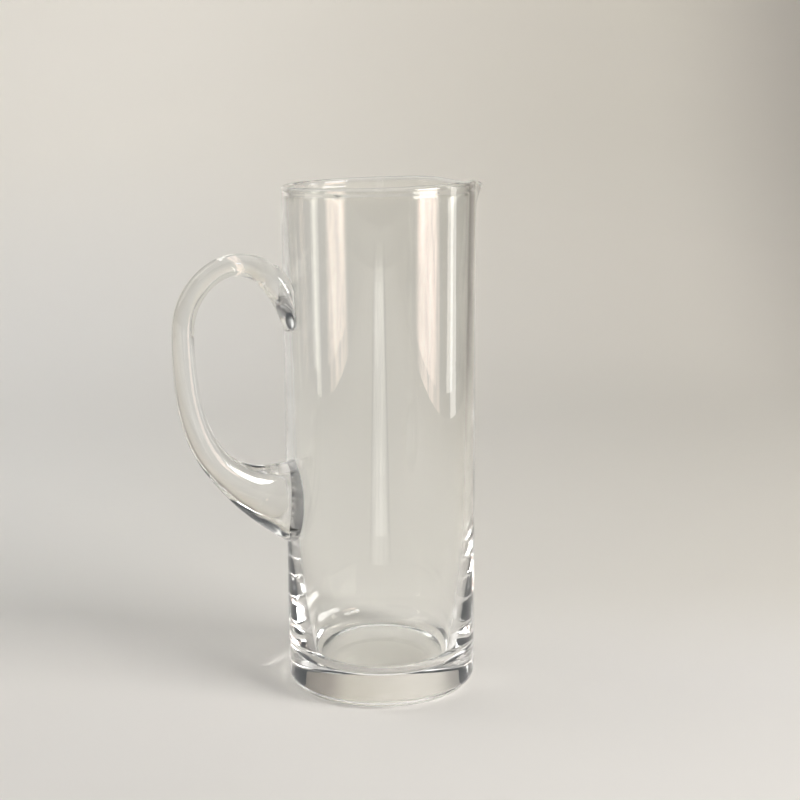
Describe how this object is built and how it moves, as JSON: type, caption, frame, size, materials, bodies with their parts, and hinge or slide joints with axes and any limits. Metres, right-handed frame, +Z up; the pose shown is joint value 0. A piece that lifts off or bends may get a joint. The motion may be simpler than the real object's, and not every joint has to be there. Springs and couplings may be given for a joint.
{
  "type": "beer pitcher",
  "caption": "Tall clear glass cylinder pitcher with a heavy flat floor, a small pulled pouring lip and a solid glass loop handle fused to the wall, for pouring beer or water.",
  "frame": {"origin": "middle of the flat underside, on the axis of the cylinder, on the table", "axes": "+Z up along the axis of the cylinder, +X towards the pouring lip, -X towards the handle; the plane y = 0 is the plane of symmetry"},
  "size_m": [0.1534, 0.09, 0.2411],
  "materials": {
    "clear_glass": "polished, clear and colourless, slightly uneven from hand blowing"
  },
  "bodies": {
    "root": {"vessel": "clear_glass", "handle": "clear_glass"}
  },
  "joints": []
}
